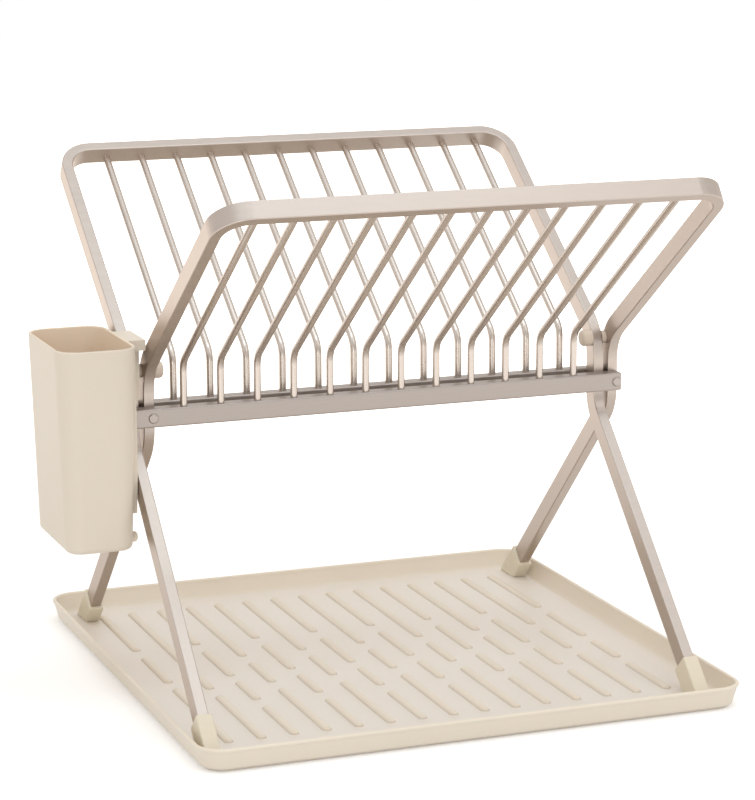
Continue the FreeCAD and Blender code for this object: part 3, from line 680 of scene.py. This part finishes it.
def rod_tree():
    """One bent rod along three points, repeated in a row along X."""
    tree, start, end = group_tree(
        "Plate rods", "GeometryNodeTree",
        row_inputs(pitch=0.0275, count=12) + [
            ("Foot", "NodeSocketVector", (0, 0, 0)), ("Bend", "NodeSocketVector", (0, 0, 0)),
            ("Top", "NodeSocketVector", (0, 0, 0)), ("Bend Radius", "NodeSocketFloat", 0.015),
            ("Rod Radius", "NodeSocketFloat", 0.00265)],
        [("Geometry", "NodeSocketGeometry")])
    line = add_node(tree, "GeometryNodeCurvePrimitiveLine")
    three = add_node(tree, "GeometryNodeResampleCurve", inputs={"Count": 3})
    plug(tree, line.outputs["Curve"], three.inputs["Curve"])
    index = add_node(tree, "GeometryNodeInputIndex")
    pick = add_node(tree, "GeometryNodeIndexSwitch", data_type="VECTOR")
    pick.index_switch_items.new()
    plug(tree, index.outputs["Index"], pick.inputs["Index"])
    for number, label in enumerate(("Foot", "Bend", "Top"), 1):
        plug(tree, start.outputs[label], pick.inputs[number])
    place = add_node(tree, "GeometryNodeSetPosition")
    plug(tree, three.outputs["Curve"], place.inputs["Geometry"])
    plug(tree, pick.outputs[0], place.inputs["Position"])
    bend = add_node(tree, "GeometryNodeFilletCurve", mode="POLY", inputs={"Count": ROD_BEND_STEPS})
    plug(tree, place.outputs["Geometry"], bend.inputs["Curve"])
    plug(tree, start.outputs["Bend Radius"], bend.inputs["Radius"])
    ring = add_node(tree, "GeometryNodeCurvePrimitiveCircle", mode="RADIUS",
                    inputs={"Resolution": ROD_ROUND_STEPS})
    plug(tree, start.outputs["Rod Radius"], ring.inputs["Radius"])
    tube = add_node(tree, "GeometryNodeCurveToMesh", inputs={"Fill Caps": True})
    plug(tree, bend.outputs["Curve"], tube.inputs["Curve"])
    plug(tree, ring.outputs["Curve"], tube.inputs["Profile Curve"])
    end_in_row(tree, start, end, tube.outputs["Mesh"])
    return tree


def rod_points(side):
    """Foot, bend and top of the first rod of a frame; side is -1 in front and 1 behind."""
    s = sizes()
    sine = math.sin(s.arm_angle)
    cosine = math.cos(s.arm_angle)
    forward = s.rod_forward
    kink = s.arm_kink + (forward * cosine - s.rod_offset) / sine
    x = -s.rod_pitch * (s.rod_count - 1) / 2
    top_y = s.arm_reach * sine + s.rod_offset * cosine
    top_z = s.arm_kink + s.arm_reach * cosine - s.rod_offset * sine
    return (x, side * forward, s.rod_low), (x, side * forward, kink), (x, side * top_y, top_z)


class RACK_OT_rods(bpy.types.Operator):
    """Make both frames' plate rods"""

    bl_idname = "rack.rods"
    bl_label = "Plate rods"

    def execute(self, context):
        s = sizes()
        tree = rod_tree()
        material = metal_material(
            "rod_metal", colours().rod, stretch=(500.0, 120.0, 60.0), roughness=0.27,
            streak_depth=0.03, metallic=0.80)
        for side, name in zip((-1, 1), FRAMES):
            foot, bend, top = rod_points(side)
            values = {
                "Foot": foot, "Bend": bend, "Top": top, "Bend Radius": s.rod_bend,
                "Rod Radius": s.rod_radius, "Pitch": s.rod_pitch, "Count": s.rod_count,
                "Material": material,
            }
            base = bpy.data.meshes.new(name + "_plate_rods")
            piece = run_nodes(name + "_plate_rods", base, tree, values, name + "_frame")
            rods = [name + "_rod_" + str(number + 1).zfill(2) for number in range(s.rod_count)]
            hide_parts(*rods)
        return {"FINISHED"}


# The drip tray

# The tray's section is a line of points, each an inset from its outer edge and a height. The
# foot ring's insets start at the ring's outer face, the knee's at the foot of the wall's
# outer face, and the cove's at the foot of its inner face, with heights above the floor.
RING_INSET = 0.0031
FOOT_RING = ((0.0010, 0.0), (0.0003, 0.0003), (0.0, 0.0009), (0.0, 0.0017),
             (-0.0004, 0.0021), (-0.0016, 0.0023))
KNEE = ((0.0006, 0.0024), (0.0002, 0.0028), (0.0, 0.0036))
COVE = ((-0.0006, 0.0030), (0.0001, 0.0014), (0.0008, 0.0005), (0.0020, 0.0))
# Under the rolled rim the wall draws in twice, lower and then higher.
NECK_INSETS = (0.0012, 0.0009)
NECK_DROP = 0.0006
NECK_SHARE = 0.9
# The rim's arc in degrees, from the wall's outer face over the top to its inner face
RIM_START = -35
RIM_STOP = 185
RIM_STEPS = 14
RIM_GAP = 0.0002
TRAY_LEAST_CORNER = 0.004
TRAY_CORNER_STEPS = 16

# A rib's section: how far in from its edge, as a share of half its width, and how high.
RIB_SECTION = (
    (-0.06, 0.0), (0.0, 0.12), (0.05, 0.28), (0.12, 0.46), (0.22, 0.64), (0.34, 0.78),
    (0.48, 0.89), (0.64, 0.96), (0.81, 0.99), (0.97, 1.0),
)
RIB_CORNER_STEPS = 5
# A rib starts a little below the floor, and its round ends keep a hair of straight edge.
RIB_SINK = 0.0001
RIB_FLAT = 0.00001

# Each kind of column: its piece, its first column, how many, and its ribs' ends in mm along Y
RIB_COLUMNS = (
    ("tray_ribs_short", -7, 8, ((-152, -86), (-69, -25), (-9, 56), (75, 175))),
    ("tray_ribs_long", -6, 7, ((-152, -52), (-34, 16), (34, 175))),
)


def rim_arc(radius, middle):
    """Points on the rim's arc, each an inset and a height."""
    points = []
    for step in range(RIM_STEPS + 1):
        angle = math.radians(RIM_START + (RIM_STOP - RIM_START) * step / RIM_STEPS)
        points.append((radius - radius * math.cos(angle), middle + radius * math.sin(angle)))
    return points


def tray_levels():
    """The tray's wall section, from the ring under the base, over the rim, to the floor."""
    s = sizes()
    low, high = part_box("drip_tray")
    half_x = (high[0] - low[0]) / 2
    half_y = (high[1] - low[1]) / 2
    ring_in = s.tray_lean + RING_INSET
    wall_in = s.tray_lean + s.tray_wall
    radius = s.tray_roll / 2
    middle = high[2] - radius
    section = [(ring_in + inset, height) for inset, height in FOOT_RING]
    section += [(s.tray_lean + inset, height) for inset, height in KNEE]
    section += zip(NECK_INSETS, (middle - radius - NECK_DROP, middle - radius * NECK_SHARE))
    section += rim_arc(radius, middle)
    section.append((s.tray_roll + RIM_GAP, middle - radius))
    section += [(wall_in + inset, s.tray_floor + height) for inset, height in COVE]
    return [(half_x - inset, half_y - inset, max(s.tray_corner - inset, TRAY_LEAST_CORNER), height)
            for inset, height in section]


def pill_mesh(name, runs, across):
    """Round-ended ribs of one column; each run is a low and a high Y."""
    s = sizes()
    half = s.rib_width / 2
    merged = bmesh.new()
    for low, high in runs:
        length = (high - low) / 2
        levels = []
        for inset, share in RIB_SECTION:
            levels.append((half - inset * half, length - inset * half,
                           half - inset * half - RIB_FLAT,
                           s.tray_floor - RIB_SINK + (s.rib_height + RIB_SINK) * share))
        part = ring_mesh(name, levels, RIB_CORNER_STEPS, (across, (low + high) / 2, 0))
        merged.from_mesh(part)
        bpy.data.meshes.remove(part)
    mesh = bpy.data.meshes.new(name)
    merged.to_mesh(mesh)
    merged.free()
    return mesh


def column_tree():
    """The ribs of one column, repeated along X."""
    tree, start, end = group_tree(
        "Rib columns", "GeometryNodeTree", row_inputs(pitch=0.047, count=8),
        [("Geometry", "NodeSocketGeometry")])
    end_in_row(tree, start, end, start.outputs["Geometry"])
    return tree


class RACK_OT_tray(bpy.types.Operator):
    """Make the drip tray with its rolled rim and floor ribs"""

    bl_idname = "rack.tray"
    bl_label = "Drip tray"

    def execute(self, context):
        s = sizes()
        material = plastic_material("tray_plastic", colours().plastic, cover=floor_grain_and_light_cover)
        mesh = ring_mesh("tray_shell", tray_levels(), TRAY_CORNER_STEPS)
        shell = new_object("tray_shell", mesh)
        finish_piece(shell, material, "tray")
        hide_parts("drip_tray")
        # The ribs' material is painted darker, with painted shade along their feet.
        rib_shaded_material = plastic_material(
            "rib_shaded_plastic", colours().rib, roughness=0.36, cover=rib_foot_shade_cover)
        tree = column_tree()
        for name, first, count, runs in RIB_COLUMNS:
            ends = [(low * MM, high * MM) for low, high in runs]
            base = pill_mesh(name, ends, s.rib_pitch * first)
            values = {"Pitch": s.rib_pitch * 2, "Count": count, "Material": rib_shaded_material}
            ribs = run_nodes(name, base, tree, values, "tray")
        return {"FINISHED"}


# The pieces that keep their CAD shape

class RACK_OT_frames(bpy.types.Operator):
    """Finish the frame bars, rails, rivets and pivot pins"""

    bl_idname = "rack.frames"
    bl_label = "Frames"

    def execute(self, context):
        c = colours()
        bars = metal_material(
            "frame_metal", c.metal, stretch=(60.0, 260.0, 260.0), roughness=0.36)
        rails = metal_material(
            "rail_metal", c.rail, stretch=(30.0, 700.0, 700.0), roughness=0.38, metallic=0.78)
        rivets = metal_material(
            "rivet_metal", c.rail, stretch=(500.0, 500.0, 500.0), roughness=0.34)
        dress([name + "_frame_bar" for name in FRAMES], bars)
        dress([name + "_rod_rail" for name in FRAMES], rails)
        dress([name + "_rail_rivet_" + end for name in FRAMES for end in LEG_ENDS], rivets)
        dress([side + "_pivot_pin" for side in SIDES], rivets)
        return {"FINISHED"}


class RACK_OT_fittings(bpy.types.Operator):
    """Finish the foot caps, pivot knobs, washers and the cutlery holder"""

    bl_idname = "rack.fittings"
    bl_label = "Plastic fittings"

    def execute(self, context):
        c = colours()
        caps = plastic_material("cap_plastic", c.cap, roughness=0.50, depth=0.00008)
        knobs = plastic_material("knob_plastic", c.knob, roughness=0.44, depth=0.00004)
        washers = plastic_material("washer_plastic", c.knob, roughness=0.50, depth=0.00004)
        holder = plastic_material(
            "holder_plastic", c.holder, roughness=0.46, gloss=0.20, cover=holder_warm_light_cover)
        dress([name + "_foot_cap_" + end for name in FRAMES for end in LEG_ENDS], caps)
        dress([side + "_pivot_knob" for side in SIDES], knobs)
        dress([side + "_pivot_washer" for side in SIDES], washers)
        dress(["cutlery_holder"], holder)
        return {"FINISHED"}


# The stage

# The camera's place in metres, its turns in degrees and its lens in mm
CAMERA_PLACE = (-0.70597, -1.86574, 0.61071)
CAMERA_TURN = -20.73
CAMERA_DOWN = 11.70
CAMERA_ROLL = -0.18
CAMERA_LENS = 125.34
CAMERA_SENSOR = 36.0
CAMERA_FAR = 50.0

# The floor glows with the background's white from FLOOR_FAR outwards. Nearer than
# FLOOR_NEAR only FLOOR_LIFT of that is left, so that the rack's shadow shows.
FLOOR_SIZE = 12.0
FLOOR_NEAR = 0.45
FLOOR_FAR = 1.1
FLOOR_LIFT = 0.26
FLOOR_ROUGHNESS = 0.9
FLOOR_GLOSS = 0.1
WHITE = (1.0, 1.0, 1.0, 1.0)

# The light that the world gives, and the lamps, each with its place, size, watts and colour
AMBIENT = (0.82, 0.74, 0.65, 1.0)
LAMP_AIM = (0, 0, 0.15)
LAMPS = (
    ("key", (1.1, -2.1, 2.4), (1.6, 1.6), 8, (0.98, 0.98, 1.0)),
    ("fill", (-2.2, -1.4, 1.3), (1.8, 1.4), 1.4, (0.82, 0.93, 1.0)),
    ("strip", (-0.95, -2.20, 0.34), (0.35, 0.5), 3.9, (0.82, 0.93, 1.0)),
    ("top", (0.0, -0.42, 2.7), (2.4, 1.25), 21, (0.74, 0.89, 1.0)),
)


def add_camera():
    """The camera at the place from which the rack was photographed."""
    data = bpy.data.cameras.new("Camera")
    data.lens = CAMERA_LENS
    data.sensor_width = CAMERA_SENSOR
    data.clip_end = CAMERA_FAR
    camera = new_object("Camera", data)
    turn = math.radians(CAMERA_TURN)
    down = math.radians(CAMERA_DOWN)
    level = math.cos(down)
    back = Vector((math.sin(turn) * level, -math.cos(turn) * level, math.sin(down)))
    aim = (-back).to_track_quat("-Z", "Y").to_matrix().to_4x4()
    tilt = Matrix.Rotation(math.radians(CAMERA_ROLL), 4, "Z")
    camera.matrix_world = Matrix.Translation(CAMERA_PLACE) @ aim @ tilt
    bpy.context.scene.camera = camera


def add_lamp(name, place, size, power, colour):
    """A large soft lamp that points at the middle of the rack."""
    data = bpy.data.lights.new(name, "AREA")
    data.shape = "RECTANGLE"
    data.size, data.size_y = size
    data.energy = power
    data.color = colour
    lamp = new_object(name, data)
    lamp.location = place
    aim = Vector(LAMP_AIM) - Vector(place)
    lamp.rotation_euler = aim.to_track_quat("-Z", "Y").to_euler()


def seen_ray(tree):
    """1 for the rays that show the background: seen directly, in gloss or through glass."""
    path = add_node(tree, "ShaderNodeLightPath")
    seen = maths(tree, "MAXIMUM", path.outputs["Is Camera Ray"], path.outputs["Is Glossy Ray"])
    return maths(tree, "MAXIMUM", seen, path.outputs["Is Transmission Ray"])


def floor_material():
    """A pale matte floor that keeps the rack's shadow and turns white further out."""
    material, tree, shader = new_material("floor_white", {
        "Base Color": tinted(colours().floor), "Roughness": FLOOR_ROUGHNESS,
        "Specular IOR Level": FLOOR_GLOSS, "Emission Color": WHITE})
    away = vector_maths(tree, "LENGTH", object_place(tree))
    far = add_node(tree, "ShaderNodeMapRange", interpolation_type="SMOOTHSTEP",
                   inputs={"From Min": FLOOR_NEAR, "From Max": FLOOR_FAR})
    plug(tree, away.outputs["Value"], far.inputs["Value"])
    glow = ranged(tree, far.outputs["Result"], FLOOR_LIFT, 1.0)
    strength = maths(tree, "MULTIPLY", seen_ray(tree), glow)
    plug(tree, strength, shader.inputs["Emission Strength"])
    return material


def add_floor():
    """The floor that the tray stands on."""
    mesh = bpy.data.meshes.new("floor")
    half = FLOOR_SIZE / 2
    corners = [(-half, -half, 0), (half, -half, 0), (half, half, 0), (-half, half, 0)]
    mesh.from_pydata(corners, [], [(0, 1, 2, 3)])
    mesh.materials.append(floor_material())
    floor = new_object("floor", mesh)


def add_world():
    """A world that looks white and lights the rack softly."""
    world = bpy.data.worlds.new("studio")
    world.use_nodes = True
    tree = world.node_tree
    background = next(node for node in tree.nodes if node.type == "BACKGROUND")
    plug(tree, mix_colour(tree, seen_ray(tree), AMBIENT, WHITE), background.inputs["Color"])
    background.inputs["Strength"].default_value = 1.0
    bpy.context.scene.world = world


class RACK_OT_stage(bpy.types.Operator):
    """Make the floor, the lamps, the world and the camera"""

    bl_idname = "rack.stage"
    bl_label = "Stage"

    def execute(self, context):
        add_floor()
        add_world()
        for lamp in LAMPS:
            add_lamp(*lamp)
        add_camera()
        context.scene.view_settings.view_transform = "Standard"
        return {"FINISHED"}


class RACK_PT_panel(bpy.types.Panel):
    """The dish rack's pieces in the sidebar"""

    bl_idname = "RACK_PT_panel"
    bl_label = "Dish rack"
    bl_space_type = "VIEW_3D"
    bl_region_type = "UI"
    bl_category = "Dish rack"

    def draw(self, context):
        for operator in OPERATORS:
            self.layout.operator(operator.bl_idname)


OPERATORS = (RACK_OT_frames, RACK_OT_rods, RACK_OT_tray, RACK_OT_fittings, RACK_OT_stage)
CLASSES = (RackSizes, RackColours) + OPERATORS + (RACK_PT_panel,)


def register():
    """Register the classes and hang the sizes and colours on the scene."""
    for item in CLASSES:
        bpy.utils.register_class(item)
    bpy.types.Scene.rack_sizes = bpy.props.PointerProperty(type=RackSizes)
    bpy.types.Scene.rack_colours = bpy.props.PointerProperty(type=RackColours)


def unregister():
    """Take the sizes, the colours and the classes away again."""
    del bpy.types.Scene.rack_colours
    del bpy.types.Scene.rack_sizes
    for item in reversed(CLASSES):
        bpy.utils.unregister_class(item)


def main():
    """Make every piece and the stage."""
    register()
    bpy.ops.rack.frames()
    bpy.ops.rack.rods()
    bpy.ops.rack.tray()
    bpy.ops.rack.fittings()
    bpy.ops.rack.stage()


if __name__ == "__main__":
    main()
